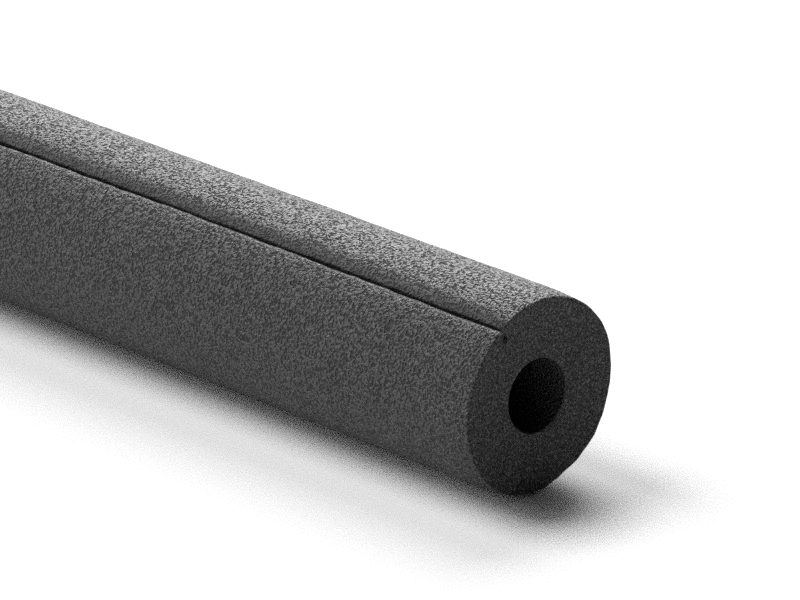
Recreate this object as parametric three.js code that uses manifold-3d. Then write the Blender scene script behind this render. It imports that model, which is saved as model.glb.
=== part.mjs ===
// A length of slit foam pipe lagging: one extruded tube of closed-cell foam, with a bore for the
// pipe, an opening slit along its whole length and cut ends. Millimetres, +Z up. The origin is on
// the bore's axis, half way along the tube, and +X runs along the bore.

import * as THREE from "three";
import { mergeVertices } from "three/addons/utils/BufferGeometryUtils.js";
import Module from "manifold-3d";

// The tube
const LENGTH = 1000;
const BORE_DIAMETER = 15;
const WALL = 13;
const CUT_EDGE_RADIUS = 1.6; // the skin rolls in where the tube was cut to length
const BORE_EDGE_RADIUS = 0.4;

// The slit, which opens the wall from outside and stops before the bore
const SLIT_TURN_DEGREES = 33.5; // from the top of the tube towards -Y
const SLIT_DEPTH = 5; // from the outer surface to the slit's floor
const SLIT_NECK = 0.3; // between its two walls, where the lips come together
const SLIT_FLOOR_RADIUS = 0.4; // the walls lean apart to a round floor
const LIP_RADIUS = 1.7; // the skin rolls into the slit on both sides

// How finely round shapes are divided
const TUBE_SIDES = 72;
const EDGE_STEPS = 5;
const LIP_STEPS = 8;
const FLOOR_STEPS = 8;

const BORE_RADIUS = BORE_DIAMETER / 2;
const OUTER_RADIUS = BORE_RADIUS + WALL;
const CUTTER_REACH = 2; // how far the slit's cutter stands out of the foam that it cuts

const wasm = await Module();
wasm.setup();

function toSolid(geometry) {
  const bare = geometry.index ? geometry.toNonIndexed() : geometry.clone();
  bare.deleteAttribute("normal");
  bare.deleteAttribute("uv");
  const merged = mergeVertices(bare, 1e-4);
  return new wasm.Manifold(
    new wasm.Mesh({
      numProp: 3,
      vertProperties: merged.attributes.position.array,
      triVerts: new Uint32Array(merged.index.array),
    }),
  );
}

function toGeometry(solid) {
  const mesh = solid.getMesh();
  const geometry = new THREE.BufferGeometry();
  geometry.setAttribute("position", new THREE.BufferAttribute(mesh.vertProperties, 3));
  geometry.setIndex(new THREE.BufferAttribute(mesh.triVerts, 1));
  const faceted = geometry.toNonIndexed();
  faceted.computeVertexNormals();
  return faceted;
}

// Points along an arc, with its angles in radians.
function arc(centreX, centreY, radius, from, to, steps) {
  return Array.from({ length: steps + 1 }, (_, step) => {
    const angle = from + ((to - from) * step) / steps;
    return new THREE.Vector2(
      centreX + radius * Math.cos(angle),
      centreY + radius * Math.sin(angle),
    );
  });
}

// The wall's section with its four edges rounded, turned about the bore's axis.
function tubeGeometry() {
  const half = LENGTH / 2;
  const quarter = Math.PI / 2;
  const skin = OUTER_RADIUS - CUT_EDGE_RADIUS;
  const mouth = BORE_RADIUS + BORE_EDGE_RADIUS;
  const section = [
    ...arc(skin, -half + CUT_EDGE_RADIUS, CUT_EDGE_RADIUS, -quarter, 0, EDGE_STEPS),
    ...arc(skin, half - CUT_EDGE_RADIUS, CUT_EDGE_RADIUS, 0, quarter, EDGE_STEPS),
    ...arc(mouth, half - BORE_EDGE_RADIUS, BORE_EDGE_RADIUS, quarter, 2 * quarter, EDGE_STEPS),
    ...arc(mouth, -half + BORE_EDGE_RADIUS, BORE_EDGE_RADIUS, 2 * quarter, 3 * quarter, EDGE_STEPS),
  ];
  section.push(section[0].clone());
  // Half a side's turn lays a flat side underneath, and not a corner.
  const geometry = new THREE.LatheGeometry(section, TUBE_SIDES, Math.PI / TUBE_SIDES);
  geometry.rotateZ(-Math.PI / 2);
  return geometry;
}

// The section that the slit takes away, upright at the top of the tube: a flared mouth between two
// rolled lips, two walls that lean apart from the neck and a round floor.
function slitShape() {
  const lipX = SLIT_NECK / 2 + LIP_RADIUS;
  // Each lip's circle touches the tube's skin from inside.
  const lipY = Math.sqrt((OUTER_RADIUS - LIP_RADIUS) ** 2 - lipX ** 2);
  const skinAngle = Math.atan2(lipY, lipX);
  const floorY = OUTER_RADIUS - SLIT_DEPTH + SLIT_FLOOR_RADIUS;
  const above = OUTER_RADIUS + CUTTER_REACH;
  const leftLip = arc(-lipX, lipY, LIP_RADIUS, Math.PI - skinAngle, 0, LIP_STEPS);
  const rightLip = arc(lipX, lipY, LIP_RADIUS, Math.PI, skinAngle, LIP_STEPS);
  return new THREE.Shape([
    new THREE.Vector2(leftLip[0].x, above),
    ...leftLip,
    ...arc(0, floorY, SLIT_FLOOR_RADIUS, Math.PI, 2 * Math.PI, FLOOR_STEPS),
    ...rightLip,
    new THREE.Vector2(rightLip[LIP_STEPS].x, above),
  ]);
}

function slitGeometry() {
  const depth = LENGTH + 2 * CUTTER_REACH;
  const geometry = new THREE.ExtrudeGeometry(slitShape(), { depth, bevelEnabled: false });
  geometry.translate(0, 0, -depth / 2);
  // The shape's own x and y become the tube's Y and Z, and the extrusion runs along X.
  geometry.rotateY(Math.PI / 2);
  geometry.rotateX(Math.PI / 2);
  geometry.rotateX(THREE.MathUtils.degToRad(SLIT_TURN_DEGREES));
  return geometry;
}

function foamTube() {
  const foam = new THREE.MeshStandardMaterial({ color: 0x3b3c3e, roughness: 0.85, metalness: 0 });
  const slitTube = toSolid(tubeGeometry()).subtract(toSolid(slitGeometry()));
  const mesh = new THREE.Mesh(toGeometry(slitTube), foam);
  mesh.name = "foam_tube";
  return mesh;
}

const lagging = new THREE.Group();
lagging.add(foamTube());

export default lagging;
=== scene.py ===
import math

import bpy
import numpy as np
from bpy.props import FloatProperty, FloatVectorProperty, IntProperty, PointerProperty
from mathutils import Matrix, Vector, noise


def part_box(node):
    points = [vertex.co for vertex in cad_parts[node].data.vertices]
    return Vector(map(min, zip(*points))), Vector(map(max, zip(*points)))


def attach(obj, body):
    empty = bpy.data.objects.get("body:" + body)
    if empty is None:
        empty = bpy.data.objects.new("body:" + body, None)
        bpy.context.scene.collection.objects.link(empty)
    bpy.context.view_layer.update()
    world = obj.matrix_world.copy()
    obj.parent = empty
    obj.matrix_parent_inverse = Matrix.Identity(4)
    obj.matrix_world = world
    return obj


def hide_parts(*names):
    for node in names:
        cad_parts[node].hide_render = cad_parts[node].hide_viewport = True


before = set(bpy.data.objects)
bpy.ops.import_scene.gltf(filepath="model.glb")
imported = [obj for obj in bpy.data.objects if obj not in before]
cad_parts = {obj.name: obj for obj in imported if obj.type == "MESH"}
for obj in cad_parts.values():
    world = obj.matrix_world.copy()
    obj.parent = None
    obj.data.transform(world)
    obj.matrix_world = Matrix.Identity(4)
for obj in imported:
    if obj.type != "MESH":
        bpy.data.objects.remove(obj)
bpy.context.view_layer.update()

bl_info = {
    "name": "Foam pipe lagging",
    "version": (1, 0, 0),
    "blender": (4, 5, 0),
    "location": "3D View > Sidebar > Lagging",
    "description": "Builds a slit length of foam pipe lagging and a plain studio round it",
    "category": "Add Mesh",
}

MM = 0.001
TUBE_LOW, TUBE_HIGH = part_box("foam_tube")


# Settings


class LaggingTube(bpy.types.PropertyGroup):
    """Sizes of the foam tube, its slit and the unevenness of its foam"""

    length: FloatProperty(
        name="Length", description="From one cut end to the other",
        default=TUBE_HIGH.x - TUBE_LOW.x, min=0.1, unit="LENGTH")
    outer_diameter: FloatProperty(
        name="Outer diameter", description="Across the skin",
        default=TUBE_HIGH.z - TUBE_LOW.z, min=0.02, unit="LENGTH")
    bore_diameter: FloatProperty(
        name="Bore diameter", description="Across the bore, which fits round a pipe of this size",
        default=15 * MM, min=0.005, unit="LENGTH")
    taper_length: FloatProperty(
        name="Taper length", description="The stretch at a cut end where the knife drew the skin in",
        default=8 * MM, min=0.001, unit="LENGTH")
    taper_drop: FloatProperty(
        name="Taper drop", description="How far the skin is drawn in at its cut edge",
        default=0.6 * MM, min=0.0, unit="LENGTH")
    taper_lean: FloatProperty(
        name="Taper lean", description="How much further it is drawn in low on the far side",
        default=0.5 * MM, min=0.0, unit="LENGTH")
    taper_turn: FloatProperty(
        name="Taper turn", description="The middle of that low stretch, from the top towards -Y",
        default=math.radians(205), subtype="ANGLE")
    taper_spare: FloatProperty(
        name="Taper spare", description="How much less it is drawn in high on the far side",
        default=0.4 * MM, min=0.0, unit="LENGTH")
    spare_turn: FloatProperty(
        name="Spare turn", description="The middle of that high stretch, from the top towards -Y",
        default=math.radians(-63), subtype="ANGLE")
    slit_pinch: FloatProperty(
        name="Slit pinch", description="How much further the slit's lips are drawn in at a cut end",
        default=0.6 * MM, min=0.0, unit="LENGTH")
    cut_skew: FloatProperty(
        name="Cut skew", description="How far the near face stands out where its cut is out of square",
        default=2.1 * MM, min=0.0, unit="LENGTH")
    skew_turn: FloatProperty(
        name="Skew turn", description="Where it stands out, from the top towards -Y",
        default=math.radians(65), subtype="ANGLE")
    cut_edge_radius: FloatProperty(
        name="Cut edge radius", description="The crisp corner between the skin and a cut face",
        default=0.3 * MM, min=0.00005, unit="LENGTH")
    bore_edge_radius: FloatProperty(
        name="Bore edge radius", description="The soft edge of the bore's mouth",
        default=0.4 * MM, min=0.0001, unit="LENGTH")
    slit_turn: FloatProperty(
        name="Slit turn", description="From the top of the tube towards -Y",
        default=math.radians(31.9), subtype="ANGLE")
    slit_depth: FloatProperty(
        name="Slit depth", description="From the skin to the slit's floor",
        default=4.3 * MM, min=0.001, unit="LENGTH")
    slit_lean: FloatProperty(
        name="Slit lean", description="How far the slit's foot lies towards its lower side",
        default=0.45 * MM, min=0.0, unit="LENGTH")
    slit_neck: FloatProperty(
        name="Slit neck", description="Between the lips where they come together",
        default=0.28 * MM, min=0.00005, unit="LENGTH")
    slit_floor_radius: FloatProperty(
        name="Slit floor radius", description="The round end of the slit in the wall",
        default=0.65 * MM, min=0.0001, unit="LENGTH")
    lip_radius: FloatProperty(
        name="Lip radius", description="How the skin rolls into the slit on its lower side",
        default=1.6 * MM, min=0.0002, unit="LENGTH")
    upper_lip_radius: FloatProperty(
        name="Upper lip radius", description="How the skin rolls into the slit on its upper side",
        default=0.22 * MM, min=0.0001, unit="LENGTH")
    shoulder_dip: FloatProperty(
        name="Shoulder dip", description="How far the foam sinks beside the slit on its upper side",
        default=1.0 * MM, min=0.0, unit="LENGTH")
    lower_dip: FloatProperty(
        name="Lower dip", description="How far the foam sinks beside the slit on its lower side",
        default=0.5 * MM, min=0.0, unit="LENGTH")
    slit_wander: FloatProperty(
        name="Slit wander", description="How far the slit lies from its turn towards the top, more or less",
        default=math.radians(0.8), subtype="ANGLE")
    slit_bow: FloatProperty(
        name="Slit bow", description="How far round the slit bends towards -Y at the near end",
        default=math.radians(1.75), subtype="ANGLE")
    slit_bow_length: FloatProperty(
        name="Slit bow length", description="The stretch at the near end on which the slit bends",
        default=50 * MM, min=0.001, unit="LENGTH")
    slit_wobble: FloatProperty(
        name="Slit wobble", description="How far the slit's line wobbles",
        default=0.15 * MM, min=0.0, unit="LENGTH")
    lump_height: FloatProperty(
        name="Lump height", description="The soft unevenness of the skin",
        default=0.09 * MM, min=0.0, unit="LENGTH")
    skin_allowance: FloatProperty(
        name="Skin allowance", description="How far the skin's mean lies inside its outer diameter",
        default=0.06 * MM, min=0.0, unit="LENGTH")
    ragged_edge: FloatProperty(
        name="Ragged edge", description="How uneven the cut edge is",
        default=0.09 * MM, min=0.0, unit="LENGTH")
    torn_edge: FloatProperty(
        name="Torn edge", description="How uneven the cut edge is where the knife came out",
        default=0.32 * MM, min=0.0, unit="LENGTH")
    torn_turn: FloatProperty(
        name="Torn edge turn", description="Where the knife came out, from the top towards -Y",
        default=math.radians(215), subtype="ANGLE")
    knife_wave: FloatProperty(
        name="Knife wave", description="How uneven the cut faces are",
        default=0.12 * MM, min=0.0, unit="LENGTH")
    face_dome: FloatProperty(
        name="Face dome", description="How far a cut face falls back from its bore to its rim",
        default=0.12 * MM, min=0.0, unit="LENGTH")
    fine_length: FloatProperty(
        name="Fine length", description="The stretch at the near end that has the closest stations",
        default=165 * MM, min=0.0, unit="LENGTH")
    fine_step: FloatProperty(
        name="Fine step", description="Between stations on the fine stretch",
        default=1.0 * MM, min=0.0002, unit="LENGTH")
    plain_step: FloatProperty(
        name="Plain step", description="Between stations on the rest of the tube",
        default=5 * MM, min=0.0005, unit="LENGTH")
    skin_sides: IntProperty(
        name="Skin sides", description="Faces round the skin between the slit's lips",
        default=184, min=24)


class LaggingFoam(bpy.types.PropertyGroup):
    """Colours and grain of the foam"""

    skin_colour: FloatVectorProperty(
        name="Skin colour", description="The pebbled outer skin", subtype="COLOR",
        size=4, default=(0.024, 0.024, 0.024, 1.0), min=0.0, max=1.0)
    cut_colour: FloatVectorProperty(
        name="Cut colour", description="The open cells of the cut ends", subtype="COLOR",
        size=4, default=(0.055, 0.055, 0.055, 1.0), min=0.0, max=1.0)
    pebble_size: FloatProperty(
        name="Pebble size", description="Across one pebble of the skin",
        default=0.56 * MM, min=0.0001, unit="LENGTH")
    pebble_height: FloatProperty(
        name="Pebble height", description="From the skin's pits to its pebbles' tops",
        default=0.52 * MM, min=0.0, unit="LENGTH")
    # Painted shade: how much darker the colour of the skin's pits is made than its pebbles
    pit_painted_shade: FloatProperty(
        name="Pit tone", description="How dark the skin's pits are beside its colour",
        default=0.7, min=0.0, max=1.0)
    cell_size: FloatProperty(
        name="Cell size", description="Across one open cell of a cut face",
        default=0.5 * MM, min=0.0001, unit="LENGTH")
    cell_depth: FloatProperty(
        name="Cell depth", description="How deep the open cells are",
        default=0.35 * MM, min=0.0, unit="LENGTH")
    skin_roughness: FloatProperty(
        name="Skin roughness", description="How matt the tops of the skin's pebbles are",
        default=0.35, min=0.0, max=1.0)


class LaggingStage(bpy.types.PropertyGroup):
    """Floor, lights and camera"""

    floor_colour: FloatVectorProperty(
        name="Floor colour", description="The plain pale floor", subtype="COLOR",
        size=4, default=(0.9, 0.9, 0.9, 1.0), min=0.0, max=1.0)
    floor_size: FloatProperty(
        name="Floor size", description="Across the floor", default=80.0, min=1.0, unit="LENGTH")
    world_strength: FloatProperty(
        name="World strength", description="The soft light from all round", default=0.05, min=0.0)
    light_spread: FloatProperty(
        name="Light spread", description="How wide each light is, as seen from the tube",
        default=math.radians(40), subtype="ANGLE")
    lens: FloatProperty(
        name="Lens", description="Focal length of the camera in millimetres", default=306.75, min=10)
    camera_azimuth: FloatProperty(
        name="Camera azimuth", description="From the tube's axis, round towards -Y",
        default=math.radians(42.97), subtype="ANGLE")
    camera_elevation: FloatProperty(
        name="Camera elevation", description="Above the horizon",
        default=math.radians(20.185), subtype="ANGLE")
    camera_distance: FloatProperty(
        name="Camera distance", description="From the near end", default=1.30786, min=0.1, unit="LENGTH")
    end_right: FloatProperty(
        name="End to the right", description="How far right of the picture's middle the near end is",
        default=26.418 * MM, unit="LENGTH")
    end_below: FloatProperty(
        name="End below", description="How far below the picture's middle the near end is",
        default=18.389 * MM, unit="LENGTH")


# How many steps each rounding or stretch of the tube's grid has
LIP_STEPS = 8
WALL_STEPS = 8
FLOOR_STEPS = 8
TAPER_STEPS = 9
CORNER_STEPS = 3
BORE_EDGE_STEPS = 3
FACE_RINGS = 22
BORE_STATIONS = 44

# The part of the tube that a ring belongs to
SKIN, CUT, BORE = 0, 1, 2

# Layers of noise: the weight of each one, the size of its bumps, which may differ by axis, and its seed
WANDER_LAYERS = ((0.6, 160 * MM, 5),)
WOBBLE_LAYERS = ((0.8, 9 * MM, 1), (0.6, 4.3 * MM, 2), (0.6, 2.1 * MM, 6))
LOOSE_LAYERS = ((0.6, 22 * MM, 3), (1.2, 3.1 * MM, 4))
LUMP_LAYERS = ((1.0, (18 * MM, 11 * MM, 11 * MM), 11), (0.55, 5 * MM, 12), (0.3, 2.4 * MM, 13))
RAGGED_LAYERS = ((1.0, 4.2 * MM, 14), (0.5, 1.9 * MM, 15))
WAVE_LAYERS = ((1.0, (1.0, 9 * MM, 9 * MM), 16), (0.45, (1.0, 2.2 * MM, 2.2 * MM), 17))
# How far a seed of 1 moves the noise along each axis, in bumps
SEED_STEPS = (7.31, 3.77, 5.13)

# Keeps a division by a length of nothing from failing
TINY = 1e-12


# Curves and noise


def arc(centre, radius, start, end, steps):
    """Points of an arc, both ends included, with its angles in radians"""
    angles = np.linspace(start, end, steps + 1)
    return np.stack([centre[0] + radius * np.cos(angles), centre[1] + radius * np.sin(angles)], axis=1)


def smooth_step(value, low, high):
    """0 up to low, 1 from high on, and a smooth rise between them"""
    t = np.clip((value - low) / (high - low), 0, 1)
    return t * t * (3 - 2 * t)


def smooth_min(values, limit, blend):
    """The smaller of values and limit, rounded over the distance blend"""
    share = np.maximum(blend - np.abs(values - limit), 0) / np.maximum(blend, TINY)
    return np.minimum(values, limit) - share * share * blend / 4


def hump(turn, degrees):
    """A smooth hump of height 1 round the turn 0, which has fallen to about a third at so many degrees"""
    turn = (turn + math.pi) % (2 * math.pi) - math.pi
    return np.exp(-(turn / math.radians(degrees)) ** 2)


def noise_at(points, size, seed):
    """Smooth noise from about -1 to 1 at points in metres, with bumps about size across.

    size is one length, or one along each axis.
    """
    scaled = points / np.broadcast_to(np.array(size, float), 3)
    offset = Vector([seed * step for step in SEED_STEPS])
    flat = scaled.reshape(-1, 3)
    values = np.fromiter((noise.noise(Vector(p) + offset) for p in flat), float, len(flat))
    return values.reshape(points.shape[:-1])


def layered_noise(points, layers):
    """The sum of some layers of noise at points"""
    return sum(weight * noise_at(points, size, seed) for weight, size, seed in layers)


def noise_along(xs, layers):
    """The sum of some layers of noise along the tube"""
    points = np.zeros((len(xs), 3))
    points[:, 0] = xs
    return layered_noise(points, layers)


# The tube's section

# Below the skin: where the slit starts to open out from its neck, and where it is as wide as its foot
FOOT_TOP, FOOT_FULL = 1.5 * MM, 2.2 * MM


def slit_wall(tube, side, top, bottom):
    """Points down one wall of the slit, from its close neck to the drop-shaped foot, without the ends"""
    y = np.linspace(top, bottom, WALL_STEPS + 1)[1:-1]
    opening = smooth_step(tube.outer_diameter / 2 - y, FOOT_TOP, FOOT_FULL)
    x = tube.slit_neck / 2 * (1 - opening) + tube.slit_floor_radius * opening
    return np.stack([side * x, y], axis=1)


def lip_place(tube, lip):
    """Centre of a lip's circle, which touches the skin from inside, and its angle round the bore"""
    x = tube.slit_neck / 2 + lip
    y = math.sqrt((tube.outer_diameter / 2 - lip) ** 2 - x ** 2)
    return x, y, math.atan2(y, x)


def section_outline(tube):
    """The skin's section with the slit upright at the top, clockwise from the right lip.

    Returns the points, each point's share in the slit (0 on the skin and 1 from lip to lip) and the
    index of the middle of the slit's floor.
    """
    radius = tube.outer_diameter / 2
    left, right = tube.lip_radius, tube.upper_lip_radius
    left_x, left_y, left_angle = lip_place(tube, left)
    right_x, right_y, right_angle = lip_place(tube, right)
    floor_y = radius - tube.slit_depth + tube.slit_floor_radius
    skin = arc((0, 0), radius, right_angle, -math.pi - left_angle, tube.skin_sides)
    left_lip = arc((-left_x, left_y), left, math.pi - left_angle, 0, LIP_STEPS)
    right_lip = arc((right_x, right_y), right, math.pi, right_angle, LIP_STEPS)
    floor = arc((0, floor_y), tube.slit_floor_radius, math.pi, 2 * math.pi, FLOOR_STEPS)
    down = np.concatenate([left_lip[1:], slit_wall(tube, -1, left_y, floor_y)])
    up = np.concatenate([slit_wall(tube, 1, right_y, floor_y)[::-1], right_lip[:-1]])
    points = np.concatenate([skin, down, floor, up])
    in_slit = (np.arange(len(points)) >= len(skin)).astype(float)
    return points, in_slit, len(skin) + len(down) + FLOOR_STEPS // 2


# The tube's rings

# Where the close stations start, in plain steps past the last plain station, which they replace
FINE_START = 0.6

# Below the skin: where the moves beside the slit start to fade, and where they end
MOVES_FADE, MOVES_END = 1.2 * MM, 3.6 * MM
# Below the skin: where the slit starts to lean, and where it leans in full
LEAN_START, LEAN_FULL = 1.2 * MM, 2.4 * MM
# Beside the slit: how far the spread of its lips and its two dips reach, and how the dips curve
SPREAD_REACH = 5 * MM
SHOULDER_REACH, SHOULDER_CURVE = 3.9 * MM, 1.6
LOWER_REACH, LOWER_CURVE = 2.6 * MM, 2
# How widely the slit's lips are rounded into the taper at a cut end
LIP_BLEND = 0.7 * MM

# How the rings of the taper crowd towards its corner, and how the taper curves
TAPER_SPACING, TAPER_CURVE = 1.4, 1.7
# How far round the tube the taper's spared, pinched and low stretches reach
SPARE_DEGREES, PINCH_DEGREES, LOW_DEGREES = 26, 2.8, 40

# From a cut end: up to where the slit's lips are as close as they come, and from where they are loose
CLOSED_TO, LOOSE_FROM = 0.3 * MM, 2.5 * MM
# The gap between the lips in necks, on the tube and at a cut end, and the least from a lip to its middle
LOOSE_NECKS, CLOSED_NECKS, LEAST_GAP = 1.1, 0.25, 0.03 * MM

# How soon the columns of a cut face turn to their places round the bore
FACE_TURN = 2.2


def skin_stations(tube):
    """X of the rings along the skin, from the far end to the near one, without the tapered edges"""
    half = tube.length / 2
    near = half - tube.taper_length
    fine_start = half - tube.fine_length
    plain = np.arange(-near, fine_start, tube.plain_step)
    count = max(2, round((near - fine_start) / tube.fine_step))
    fine = np.linspace(plain[-1] + tube.plain_step * FINE_START, near, count)
    return np.concatenate([plain[:-1], fine])


def slit_moves(tube, outline, in_slit):
    """How each point of the section moves near the slit.

    Returns its share of the lips' spread, with its sign, how far it moves outwards and how far it
    leans towards the slit's lower side.
    """
    radius = tube.outer_diameter / 2
    reach = np.hypot(outline[:, 0], outline[:, 1])
    side = np.sign(outline[:, 0])
    beside = np.abs(outline[:, 0]) + np.where(outline[:, 1] > 0, 0, radius)
    near_skin = smooth_step(reach, radius - MOVES_END, radius - MOVES_FADE)
    spread_share = side * (1 - smooth_step(beside, 0.0, SPREAD_REACH)) * near_skin
    upper = tube.shoulder_dip * np.clip(1 - beside / SHOULDER_REACH, 0, 1) ** SHOULDER_CURVE * (side > 0)
    lower = tube.lower_dip * np.clip(1 - beside / LOWER_REACH, 0, 1) ** LOWER_CURVE * (side < 0)
    outwards = -(upper + lower + tube.skin_allowance) * near_skin
    lean = tube.slit_lean * in_slit * (1 - smooth_step(reach, radius - LEAN_FULL, radius - LEAN_START))
    return spread_share, outwards, lean


def skin_rings(tube, outline, in_slit):
    """Rings of the skin from the far face's outline to the near one, as an array of rings of points"""
    radius = tube.outer_diameter / 2
    inner = skin_stations(tube)
    edge_x, edge_taper, edge_drop = cut_edge(tube)
    xs = np.concatenate([-edge_x[::-1], inner, edge_x])
    taper = np.concatenate([edge_taper[::-1], np.zeros(len(inner)), edge_taper])
    drop = np.concatenate([edge_drop[::-1], np.zeros(len(inner)), edge_drop])
    turn = tube.slit_turn + slit_drift(tube, xs)
    spread = slit_spread(tube, xs)
    spread_share, outwards, lean = slit_moves(tube, outline, in_slit)

    rings = np.zeros((len(xs), len(outline), 3))
    for ring, x in enumerate(xs):
        flat = outline.copy()
        flat[:, 0] += spread[ring] * spread_share - lean
        length = np.hypot(flat[:, 0], flat[:, 1])
        wanted = length + outwards
        if taper[ring] > 0:
            point_turn = turn[ring] - np.arctan2(flat[:, 0], flat[:, 1])
            limit = radius - edge_draw(tube, point_turn, turn[ring]) * taper[ring] - drop[ring]
            wanted = smooth_min(wanted, limit, LIP_BLEND * in_slit * taper[ring])
        flat *= (wanted / length)[:, None]
        c, s = math.cos(turn[ring]), math.sin(turn[ring])
        rings[ring, :, 0] = x
        rings[ring, :, 1] = flat[:, 0] * c - flat[:, 1] * s
        rings[ring, :, 2] = flat[:, 0] * s + flat[:, 1] * c
    return rings


def cut_edge(tube):
    """X, share of the taper and drop of the corner for the rings of a cut edge"""
    corner = tube.cut_edge_radius
    share = np.linspace(0, 1, TAPER_STEPS + 1)[1:]
    from_end = corner + (tube.taper_length - corner) * (1 - share) ** TAPER_SPACING
    roll = np.linspace(0, math.pi / 2, CORNER_STEPS + 1)[1:]
    from_end = np.concatenate([from_end, corner * (1 - np.sin(roll))])
    drop = np.concatenate([np.zeros(TAPER_STEPS), corner * (1 - np.cos(roll))])
    return tube.length / 2 - from_end, (1 - from_end / tube.taper_length) ** TAPER_CURVE, drop


def edge_draw(tube, turn, slit):
    """How far the skin is drawn in at its cut edge, by the turns of the place and of the slit"""
    low = tube.taper_lean * hump(turn - tube.taper_turn, LOW_DEGREES)
    spare = tube.taper_spare * hump(turn - tube.spare_turn, SPARE_DEGREES)
    pinch = tube.slit_pinch * hump(turn - slit, PINCH_DEGREES)
    return tube.taper_drop + low - spare + pinch


def slit_drift(tube, xs):
    """How far round the slit is from its own turn at each X, in radians"""
    bow = tube.slit_bow * np.exp(-((tube.length / 2 - xs) / tube.slit_bow_length) ** 2)
    slow = bow - tube.slit_wander * (1 - noise_along(xs, WANDER_LAYERS))
    radius = tube.outer_diameter / 2
    return slow + tube.slit_wobble / radius * noise_along(xs, WOBBLE_LAYERS)


def slit_spread(tube, xs):
    """How far each lip stands off from its usual place at each X"""
    half = tube.length / 2
    closing = 1 - smooth_step(half - np.abs(xs), CLOSED_TO, LOOSE_FROM)
    loose = LOOSE_NECKS + noise_along(xs, LOOSE_LAYERS)
    gap = tube.slit_neck / 2 * (loose * (1 - closing) + CLOSED_NECKS * closing)
    return np.maximum(gap, LEAST_GAP) - tube.slit_neck / 2


def face_rings(tube, edge, centre_index):
    """Rings across a face from its outline to the bore's mouth, and the angles of that mouth's points"""
    count = len(edge)
    x = edge[0, 0]
    angles = np.unwrap(np.arctan2(edge[:, 2], edge[:, 1]))
    lengths = np.hypot(edge[:, 1], edge[:, 2])
    mouth = bore_angles(angles, centre_index, count)
    mouth_radius = tube.bore_diameter / 2 + tube.bore_edge_radius
    rings = []
    for step in range(1, FACE_RINGS + 1):
        share = step / FACE_RINGS
        turn = 1 - (1 - share) ** FACE_TURN
        radius = lengths * (1 - share) + mouth_radius * share
        angle = angles * (1 - turn) + mouth * turn
        rings.append(np.stack([np.full(count, x), radius * np.cos(angle), radius * np.sin(angle)], axis=1))
    return np.array(rings), mouth


def bore_angles(angles, centre_index, count):
    """Angles of the bore's points, evenly spaced, with the slit's floor lined up"""
    direction = np.sign(angles[-1] - angles[0])
    return angles[centre_index] + direction * 2 * math.pi * (np.arange(count) - centre_index) / count


def bore_rings(tube, near_angles, far_angles):
    """Rings of the bore from its near mouth to its far one, the two mouths not included"""
    half = tube.length / 2
    radius = tube.bore_diameter / 2
    edge = tube.bore_edge_radius
    roll = np.linspace(0, math.pi / 2, BORE_EDGE_STEPS + 1)[1:]
    edge_x = half - edge * (1 - np.cos(roll))
    edge_radius = radius + edge * (1 - np.sin(roll))
    share = np.linspace(0, 1, BORE_STATIONS + 1)[1:-1]
    eased = 0.5 - 0.5 * np.cos(math.pi * share)
    inner = (half - edge) * (1 - share - eased)
    xs = np.concatenate([edge_x, inner, -edge_x[::-1]])
    radii = np.concatenate([edge_radius, np.full(len(inner), radius), edge_radius[::-1]])
    rings = np.zeros((len(xs), len(near_angles), 3))
    for ring, (x, r) in enumerate(zip(xs, radii)):
        along = (half - x) / (2 * half)
        angles = near_angles * (1 - along) + far_angles * along
        rings[ring] = np.stack([np.full(len(angles), x), r * np.cos(angles), r * np.sin(angles)], axis=1)
    return rings


def grid_normals(points):
    """Outward unit normals of a closed grid of rings"""
    along = np.roll(points, -1, axis=0) - np.roll(points, 1, axis=0)
    around = np.roll(points, -1, axis=1) - np.roll(points, 1, axis=1)
    normals = np.cross(around, along)
    return normals / np.maximum(np.linalg.norm(normals, axis=2, keepdims=True), TINY)


def build_tube_grid(tube):
    """The whole tube as one closed grid of rings: skin, near face, bore and far face.

    Returns the points, which part each ring belongs to and each column's share in the slit.
    """
    outline, in_slit, centre_index = section_outline(tube)
    skin = skin_rings(tube, outline, in_slit)
    near_face, near_mouth = face_rings(tube, skin[-1], centre_index)
    far_face, far_mouth = face_rings(tube, skin[0], centre_index)
    bore = bore_rings(tube, near_mouth, far_mouth)
    points = np.concatenate([skin, near_face, bore, far_face[::-1]])
    parts = np.concatenate([
        np.full(len(skin), SKIN), np.full(len(near_face), CUT),
        np.full(len(bore), BORE), np.full(len(far_face), CUT)])
    return points, parts, in_slit


# The foam's unevenness

# From a cut end: up to where the cut edge is as ragged as it gets, and where that ends
RAGGED_TO, RAGGED_END = 0.4 * MM, 4.5 * MM
# How much less ragged the slit is, and how far round the tube the torn stretch reaches
SLIT_SPARED, TORN_DEGREES = 0.8, 38
# How far inwards the ragged edge and the waves of a cut face lie on the whole, in their own heights
RAGGED_INWARD, WAVE_INWARD = 0.25, 0.6
# How far a cut face's waves reach along the skin and the bore, and how its dome curves
WAVE_REACH, DOME_CURVE = 1.5 * MM, 2.5
# How far the skew of the near face reaches back and round the tube, and how it curves across the face
SKEW_REACH, SKEW_DEGREES, SKEW_CURVE = 8 * MM, 90, 2
# How far the lowest points stay above the floor
FLOOR_GAP = 0.01 * MM


def foam_push(tube, points, parts, in_slit, turn):
    """How far the skin and the bore are pushed out by lumps, and the cut edge by its raggedness"""
    from_end = tube.length / 2 - np.abs(points[..., 0])
    skin, cut = (parts == SKIN)[:, None], (parts == CUT)[:, None]
    lumps = np.where(cut, 0, tube.lump_height * layered_noise(points, LUMP_LAYERS))
    at_edge = (1 - smooth_step(from_end, RAGGED_TO, RAGGED_END)) * skin * (1 - SLIT_SPARED * in_slit)
    torn = hump(turn - tube.torn_turn, TORN_DEGREES)
    height = tube.ragged_edge * (1 - torn) + tube.torn_edge * torn
    return lumps + height * (layered_noise(points, RAGGED_LAYERS) - RAGGED_INWARD) * at_edge


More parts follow.
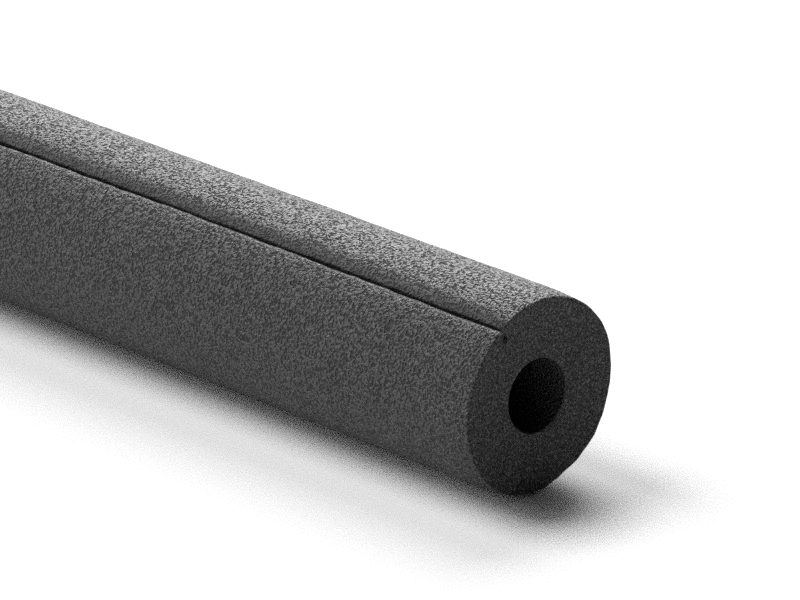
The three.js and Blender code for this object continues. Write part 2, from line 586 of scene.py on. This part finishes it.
def uneven(tube, points, parts, in_slit):
    """Moves the grid's points by the foam's unevenness and by the skew of the near face"""
    from_end = tube.length / 2 - np.abs(points[..., 0])
    turn = np.arctan2(-points[..., 1], points[..., 2])
    push = foam_push(tube, points, parts, in_slit, turn)
    moved = points + grid_normals(points) * push[..., None]

    bore_radius = tube.bore_diameter / 2
    wall = tube.outer_diameter / 2 - bore_radius
    across = np.clip((np.hypot(points[..., 1], points[..., 2]) - bore_radius) / wall, 0, 1)
    wave = tube.knife_wave * (WAVE_INWARD - layered_noise(points, WAVE_LAYERS))
    inward = wave + tube.face_dome * across ** DOME_CURVE
    at_face = np.where((parts == CUT)[:, None], 1.0, 1 - smooth_step(from_end, 0.0, WAVE_REACH))
    moved[..., 0] -= inward * at_face * np.sign(points[..., 0])

    moved[..., 2] = np.maximum(moved[..., 2], TUBE_LOW.z + FLOOR_GAP)
    moved[..., 0] = np.clip(moved[..., 0], TUBE_LOW.x, TUBE_HIGH.x)
    along = np.clip(1 - (tube.length / 2 - points[..., 0]) / SKEW_REACH, 0, 1)
    skew = tube.cut_skew * hump(turn - tube.skew_turn, SKEW_DEGREES)
    moved[..., 0] += skew * across ** SKEW_CURVE * along
    return moved


# The tube's mesh

# The flat layout for the textures: its strips of skin, the gaps in it, its margin and its scales
STRIPS = 3
LAYOUT_GAP, LAYOUT_MARGIN = 2 * MM, 0.001
SKIN_SCALE, FACE_SCALE, BORE_SCALE = 1.0, 1.5, 0.45

# The cut foam's share of the look on the last rings of the rolled edge
EDGE_SHARES = (0.0, 0.45)
# Beside the slit: where the upper side's scuffed skin and the lower lip's crest start to fade and end
SCUFF_FADE, CREST_FADE = (0.8 * MM, 4.0 * MM), (1.2 * MM, 1.9 * MM)


def grid_mesh(name, points):
    """A closed mesh of quads from a grid of rings that meets itself both ways"""
    rings, sides = points.shape[:2]
    quads = quad_corners(np.arange(rings * sides).reshape(rings, sides))
    mesh = bpy.data.meshes.new(name)
    mesh.from_pydata(points.reshape(-1, 3).tolist(), [], quads.reshape(-1, 4).tolist())
    mesh.validate()
    mesh.polygons.foreach_set("use_smooth", np.ones(len(mesh.polygons), bool))
    mesh.update()
    return mesh


def quad_corners(values):
    """The values at the four corners of each quad of a grid that meets itself both ways"""
    ahead = np.roll(values, -1, axis=0)
    return np.stack([values, np.roll(values, -1, axis=1), np.roll(ahead, -1, axis=1), ahead], axis=2)


def flat_strips(points, rows, scale):
    """Flat places of the quads of some rows, cut into strips that lie side by side"""
    step = np.linalg.norm(np.roll(points, -1, axis=0) - points, axis=2).mean(axis=1)[rows]
    round_it = points[rows[len(rows) // 2]]
    side = np.linalg.norm(np.roll(round_it, -1, axis=0) - round_it, axis=1)
    along = np.concatenate([[0], np.cumsum(step)]) * scale
    around = np.concatenate([[0], np.cumsum(side)]) * scale
    strip = ((along[:-1] + along[1:]) / 2 * STRIPS / along[-1]).astype(int)
    u = np.stack([along[:-1], along[:-1], along[1:], along[1:]], axis=1)
    u = u - (strip * along[-1] / STRIPS)[:, None]
    v = np.stack([around[:-1], around[1:], around[1:], around[:-1]], axis=1)
    v = v[None] + (strip * (around[-1] + LAYOUT_GAP))[:, None, None]
    return np.broadcast_to((u - u.min())[:, None, :], v.shape), v


def bake_map(mesh, points, parts):
    """Lays the tube out flat for its textures: the skin in strips, both faces and the bore beside them"""
    inside = parts == np.roll(parts, -1)
    skin = np.flatnonzero(inside & (parts == SKIN))
    bore = np.flatnonzero(inside & (parts == BORE))
    skin_u, skin_v = flat_strips(points, skin, SKIN_SCALE)
    bore_v, bore_u = flat_strips(points, bore, BORE_SCALE)
    layout = quad_corners(points[..., 1:]) * FACE_SCALE
    reach = np.abs(layout).max()
    right = skin_u.max() + LAYOUT_GAP
    layout += (right + reach, reach)
    layout[bore[-1] + 1:, ..., 1] += 2 * reach + LAYOUT_GAP
    layout[skin] = np.stack([skin_u, skin_v], axis=-1)
    layout[bore] = np.stack([bore_u + right, bore_v + 4 * reach + 2 * LAYOUT_GAP], axis=-1)
    layout = LAYOUT_MARGIN + (1 - 2 * LAYOUT_MARGIN) * layout / layout.max()
    mesh.uv_layers.new(name="OFBake").data.foreach_set("uv", layout.astype(np.float32).ravel())


def add_share(mesh, name, values):
    """A value from 0 to 1 at each point, for the material"""
    layer = mesh.attributes.new(name, "FLOAT", "POINT")
    layer.data.foreach_set("value", values.astype(np.float32).ravel())


def cut_share(parts):
    """1 on the rings of the cut faces and 0 elsewhere, changing over the last of the rolled edge"""
    share = (parts == CUT).astype(float)
    skin_count = int((parts == SKIN).sum())
    share[skin_count - len(EDGE_SHARES):skin_count] = EDGE_SHARES
    share[:len(EDGE_SHARES)] = EDGE_SHARES[::-1]
    return share


def slit_shares(tube):
    """How scuffed the skin is beside the slit's upper side, and the lower lip's crest, where the grain is
    smoother and a highlight is painted
    """
    outline, _, _ = section_outline(tube)
    beside = np.where(outline[:, 1] > 0, outline[:, 0], tube.outer_diameter)
    scuff = (1 - smooth_step(beside, *SCUFF_FADE)) * (beside > 0)
    crest = (1 - smooth_step(-beside, *CREST_FADE)) * (beside < 0)
    return scuff, crest


# Materials

# The frayed border of the cut foam: the size of its tufts, how far they reach, and where it turns
FRAY_SIZE, FRAY_REACH, FRAY_BORDER = 0.9 * MM, 0.5, (0.6, 0.85)
# How much flatter the grain is on the lower lip's crest, on the scuffed skin and in the bore
CREST_FLAT, SCUFF_FLAT, BORE_FLAT = 0.6, 0.3, 0.5
# The skin's soft patches: their size, the noise between which they change, and their tones
PATCH_SIZE, PATCH_BORDER, PATCH_TONES = 30 * MM, (0.3, 0.7), (0.92, 1.08)
# Tones beside the foam's colours, all painted light and shade: paler pebbles' tops over darker pits, a
# painted highlight on the lower lip's crest, painted shade in the cut foam's cells and painted glints on
# their walls
TOP_PAINTED_LIGHT, CREST_PAINTED_HIGHLIGHT, CELL_SHADE_AND_GLINT_TONES = 1.15, 3.0, (0.25, 1.75)
# How matt the pits, the scuffed skin and the cut foam are, and how much of the scuffed skin's mattness shows
PIT_ROUGHNESS, SCUFF_ROUGHNESS, CUT_ROUGHNESS, SCUFF_SHARE = 0.95, 0.8, 1.0, 0.6
# Heights of the pebbles between which their painted shade and their roughness change
PAINTED_SHADE_HEIGHTS, ROUGHNESS_HEIGHTS = (0.05, 0.6), (0.05, 0.55)
# Noise between which pits turn to pebbles, cells to walls, and ripples from low to high
PEBBLE_BORDER, CELL_BORDER, RIPPLE_BORDER = (0.34, 0.62), (0.34, 0.68), (0.25, 0.75)
# The ripples on the pebbles: how many times finer they are, and their share of the height
RIPPLE_FINER, RIPPLE_SHARE = 2.3, 0.22
FOAM_IOR = 1.45

FLOOR_ROUGHNESS, FLOOR_SHINE = 0.9, 0.1


class Nodes:
    """Short ways to add and link shader nodes"""

    def __init__(self, tree):
        self.tree = tree

    def add(self, kind, inputs=None, **settings):
        node = self.tree.nodes.new(kind)
        for name, value in settings.items():
            setattr(node, name, value)
        for name, value in (inputs or {}).items():
            self.set(node.inputs[name], value)
        return node

    def set(self, socket, value):
        if isinstance(value, bpy.types.NodeSocket):
            self.tree.links.new(value, socket)
        else:
            socket.default_value = value

    def math(self, operation, a, b):
        return self.add("ShaderNodeMath", {0: a, 1: b}, operation=operation).outputs[0]

    def times(self, a, b):
        return self.math("MULTIPLY", a, b)

    def noise(self, place, size, **inputs):
        """Noise with bumps about size across; the other inputs have the node's own names"""
        inputs = {"Vector": place, "Scale": 1 / size, **inputs}
        return self.add("ShaderNodeTexNoise", inputs).outputs["Fac"]

    def ramp(self, value, low, high, to_low=0.0, to_high=1.0, smooth=True):
        kind = "SMOOTHSTEP" if smooth else "LINEAR"
        node = self.add("ShaderNodeMapRange", {
            "Value": value, "From Min": low, "From Max": high, "To Min": to_low, "To Max": to_high},
            interpolation_type=kind)
        return node.outputs["Result"]

    def mix(self, share, a, b):
        node = self.add("ShaderNodeMix", {"Factor": share, "A": a, "B": b}, data_type="FLOAT")
        return node.outputs["Result"]

    def tint(self, share, a, b):
        """A mix of two colours, whose sockets go by number, because a mix node's names repeat"""
        return self.add("ShaderNodeMix", {0: share, 6: a, 7: b}, data_type="RGBA").outputs[2]

    def share(self, name):
        return self.add("ShaderNodeAttribute", attribute_name=name).outputs["Fac"]


def foam_material(foam):
    """Closed-cell foam: a pebbled skin, open cells where it was cut, and a smoother bore"""
    material = bpy.data.materials.new("closed_cell_foam")
    material.use_nodes = True
    material.node_tree.nodes.clear()
    n = Nodes(material.node_tree)
    place = n.add("ShaderNodeTexCoord").outputs["Object"]
    scuff, crest = n.share("scuff"), n.share("crest")
    fray = n.times(n.noise(place, FRAY_SIZE, Detail=2.0), FRAY_REACH)
    cut = n.ramp(n.math("ADD", n.share("cut"), fray), *FRAY_BORDER)
    pebbles, cells = skin_height(n, place, foam), cut_height(n, place, foam)

    relief = foam_relief(n, foam, cut, pebbles, cells, scuff, crest)
    bump = n.add("ShaderNodeBump", {"Height": relief, "Distance": 1.0, "Strength": 1.0})
    shader = n.add("ShaderNodeBsdfPrincipled", {
        "Base Color": foam_colour(n, foam, place, cut, pebbles, cells, crest),
        "Roughness": foam_roughness(n, foam, cut, pebbles, scuff),
        "IOR": FOAM_IOR,
        "Normal": bump.outputs["Normal"]})
    out = n.add("ShaderNodeOutputMaterial", {"Surface": shader.outputs["BSDF"]})
    out.is_active_output = True
    return material


def skin_height(n, place, foam):
    """Height of the skin's pebbles, from 0 in the pits between them to 1 on their flat tops"""
    wrinkle = n.noise(place, foam.pebble_size, Detail=0.6, Roughness=0.5, Distortion=0.5)
    ripple = n.noise(place, foam.pebble_size / RIPPLE_FINER, Detail=1.0, Roughness=0.6)
    return n.mix(RIPPLE_SHARE, n.ramp(wrinkle, *PEBBLE_BORDER), n.ramp(ripple, *RIPPLE_BORDER, smooth=False))


def cut_height(n, place, foam):
    """Height of the cut foam, from 0 in its open cells to 1 on the walls between them"""
    walls = n.noise(place, foam.cell_size, Detail=1.2, Roughness=0.6, Distortion=0.8)
    return n.ramp(walls, *CELL_BORDER)


def foam_relief(n, foam, cut, pebbles, cells, scuff, crest):
    """Height of the foam's grain in metres"""
    flat = n.math("ADD", n.times(crest, CREST_FLAT), n.times(scuff, SCUFF_FLAT))
    skin = n.times(n.times(pebbles, foam.pebble_height), n.math("SUBTRACT", 1.0, flat))
    relief = n.mix(cut, skin, n.times(cells, foam.cell_depth))
    return n.mix(n.times(n.share("bore"), BORE_FLAT), relief, 0.0)


def foam_colour(n, foam, place, cut, pebbles, cells, crest):
    """Colour of the foam, with painted shade in its pits and cells, painted light on its pebbles' tops and
    cells' walls, and a painted highlight on the lower lip's crest
    """
    patches = n.noise(place, PATCH_SIZE, Detail=3.0)
    patches = n.ramp(patches, *PATCH_BORDER, *PATCH_TONES, smooth=False)
    # Painted shade: the pits are coloured darker and the pebbles' tops paler, in place of the shade the bump
    # doesn't cast
    skin = n.times(n.ramp(pebbles, *PAINTED_SHADE_HEIGHTS, foam.pit_painted_shade, TOP_PAINTED_LIGHT), patches)
    # Painted highlight: the colour on the lower lip's crest is made up to three times lighter, for the light
    # the crest catches
    skin = n.times(skin, n.ramp(crest, 0.0, 1.0, 1.0, CREST_PAINTED_HIGHLIGHT))
    # Painted shade in the cut foam's open cells, and painted glints on the paler walls between them
    tone = n.mix(cut, skin, n.ramp(cells, 0.0, 1.0, *CELL_SHADE_AND_GLINT_TONES, smooth=False))
    base = n.tint(cut, tuple(foam.skin_colour), tuple(foam.cut_colour))
    return n.add("ShaderNodeVectorMath", {0: base, 1: tone}, operation="MULTIPLY").outputs[0]


def foam_roughness(n, foam, cut, pebbles, scuff):
    """How matt the foam is, which shines a little on the tops of its pebbles"""
    skin = n.ramp(pebbles, *ROUGHNESS_HEIGHTS, PIT_ROUGHNESS, foam.skin_roughness)
    skin = n.mix(n.times(scuff, SCUFF_SHARE), skin, SCUFF_ROUGHNESS)
    return n.mix(cut, skin, CUT_ROUGHNESS)


def floor_material(colour):
    """Plain, matt and pale"""
    material = bpy.data.materials.new("pale_floor")
    material.use_nodes = True
    shader = material.node_tree.nodes["Principled BSDF"]
    shader.inputs["Base Color"].default_value = colour
    shader.inputs["Roughness"].default_value = FLOOR_ROUGHNESS
    shader.inputs["Specular IOR Level"].default_value = FLOOR_SHINE
    return material


# The stage

# Each soft light's name, its turn round the tube from the top towards -Y, its tilt towards the near
# end, both in degrees, and its strength
LIGHTS = (
    ("high_back", -40, -35, 2.3),
    ("back", -62, -35, 1.2),
    ("low_back_far", -80, -62, 0.9),
    ("high_front", 20, -35, 2.5),
    ("front_far", 45, -62, 1.0),
    ("front", 65, -35, 0.6),
)
# How far off the lights are put, which changes nothing in their light
LIGHT_DISTANCE = 2

# The width in millimetres that the lens is meant for, and how near and far the camera sees in metres
SENSOR_WIDTH, SEES_FROM, SEES_TO = 36, 0.01, 200


def make_floor(scene, stage):
    """The plain pale floor under the tube"""
    half = stage.floor_size / 2
    mesh = bpy.data.meshes.new("floor")
    corners = [(-half, -half, 0), (half, -half, 0), (half, half, 0), (-half, half, 0)]
    mesh.from_pydata(corners, [], [(0, 1, 2, 3)])
    floor = bpy.data.objects.new("floor", mesh)
    floor.location.z = TUBE_LOW.z
    mesh.materials.append(floor_material(tuple(stage.floor_colour)))
    scene.collection.objects.link(floor)


def make_world(scene, stage):
    """The faint white light from all round"""
    world = bpy.data.worlds.new("studio")
    world.use_nodes = True
    backdrop = world.node_tree.nodes["Background"]
    backdrop.inputs["Color"].default_value = (1, 1, 1, 1)
    backdrop.inputs["Strength"].default_value = stage.world_strength
    scene.world = world


def add_light(scene, name, turn, tilt, strength, spread):
    """A soft light from far away"""
    light = bpy.data.lights.new(name, "SUN")
    light.energy = strength
    light.angle = spread
    lamp = bpy.data.objects.new(name, light)
    turn, tilt = math.radians(turn), math.radians(tilt)
    away = Vector((math.sin(tilt), -math.cos(tilt) * math.sin(turn), math.cos(tilt) * math.cos(turn)))
    lamp.location = away * LIGHT_DISTANCE
    lamp.rotation_mode = "QUATERNION"
    lamp.rotation_quaternion = away.to_track_quat("Z", "Y")
    scene.collection.objects.link(lamp)


def make_camera(scene, stage, near_end):
    """The camera, which looks at the near end from the photo's side"""
    data = bpy.data.cameras.new("camera")
    data.sensor_fit = "HORIZONTAL"
    data.sensor_width = SENSOR_WIDTH
    data.lens = stage.lens
    data.clip_start, data.clip_end = SEES_FROM, SEES_TO
    camera = bpy.data.objects.new("camera", data)
    azimuth, elevation = stage.camera_azimuth, stage.camera_elevation
    away = Vector((
        math.cos(elevation) * math.cos(azimuth),
        -math.cos(elevation) * math.sin(azimuth),
        math.sin(elevation)))
    right = (-away).cross(Vector((0, 0, 1))).normalized()
    up = right.cross(-away)
    place = near_end + away * stage.camera_distance - right * stage.end_right + up * stage.end_below
    rotation = Matrix((right, up, away)).transposed().to_4x4()
    camera.matrix_world = Matrix.Translation(place) @ rotation
    scene.collection.objects.link(camera)
    return camera


# Operators


class LAGGING_OT_foam_tube(bpy.types.Operator):
    """Make the slit foam tube in place of the plain solid"""

    bl_idname = "lagging.foam_tube"
    bl_label = "Foam tube"

    def execute(self, context):
        tube = context.scene.lagging_tube
        points, parts, in_slit = build_tube_grid(tube)
        points = uneven(tube, points, parts, in_slit)
        mesh = grid_mesh("foam_tube_skin", points)
        bake_map(mesh, points, parts)
        scuff, crest = slit_shares(tube)
        shares = {
            "cut": cut_share(parts)[:, None], "bore": (parts == BORE)[:, None],
            "scuff": scuff, "crest": crest}
        for name, share in shares.items():
            add_share(mesh, name, np.broadcast_to(share, points.shape[:2]))
        piece = bpy.data.objects.new("foam_tube_skin", mesh)
        context.scene.collection.objects.link(piece)
        mesh.materials.append(foam_material(context.scene.lagging_foam))
        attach(piece, "root")
        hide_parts("foam_tube")
        return {"FINISHED"}


class LAGGING_OT_stage(bpy.types.Operator):
    """Make the pale floor, the soft lights and the camera"""

    bl_idname = "lagging.stage"
    bl_label = "Stage"

    def execute(self, context):
        scene = context.scene
        stage = scene.lagging_stage
        make_floor(scene, stage)
        make_world(scene, stage)
        for name, turn, tilt, strength in LIGHTS:
            add_light(scene, name, turn, tilt, strength, stage.light_spread)
        scene.camera = make_camera(scene, stage, Vector((TUBE_HIGH.x, 0, 0)))
        scene.cycles.use_denoising = False  # the foam's grain is as fine as a picture's points
        scene.view_settings.view_transform = "Standard"
        scene.view_settings.look = "None"
        return {"FINISHED"}


class LAGGING_PT_panel(bpy.types.Panel):
    """Lists the tube and the stage"""

    bl_idname = "LAGGING_PT_panel"
    bl_label = "Foam lagging"
    bl_space_type = "VIEW_3D"
    bl_region_type = "UI"
    bl_category = "Lagging"

    def draw(self, context):
        column = self.layout.column()
        for kind in OPERATORS:
            column.operator(kind.bl_idname)


OPERATORS = (LAGGING_OT_foam_tube, LAGGING_OT_stage)
SETTINGS = {"lagging_tube": LaggingTube, "lagging_foam": LaggingFoam, "lagging_stage": LaggingStage}
CLASSES = (*SETTINGS.values(), *OPERATORS, LAGGING_PT_panel)


def register():
    """Adds the classes to Blender, and their settings to its scenes"""
    for kind in CLASSES:
        bpy.utils.register_class(kind)
    for name, kind in SETTINGS.items():
        setattr(bpy.types.Scene, name, PointerProperty(type=kind))


def unregister():
    """Takes the settings and the classes out again"""
    for name in SETTINGS:
        delattr(bpy.types.Scene, name)
    for kind in reversed(CLASSES):
        bpy.utils.unregister_class(kind)


def main():
    """Makes the tube and the stage"""
    register()
    bpy.ops.lagging.foam_tube()
    bpy.ops.lagging.stage()


if __name__ == "__main__":
    main()
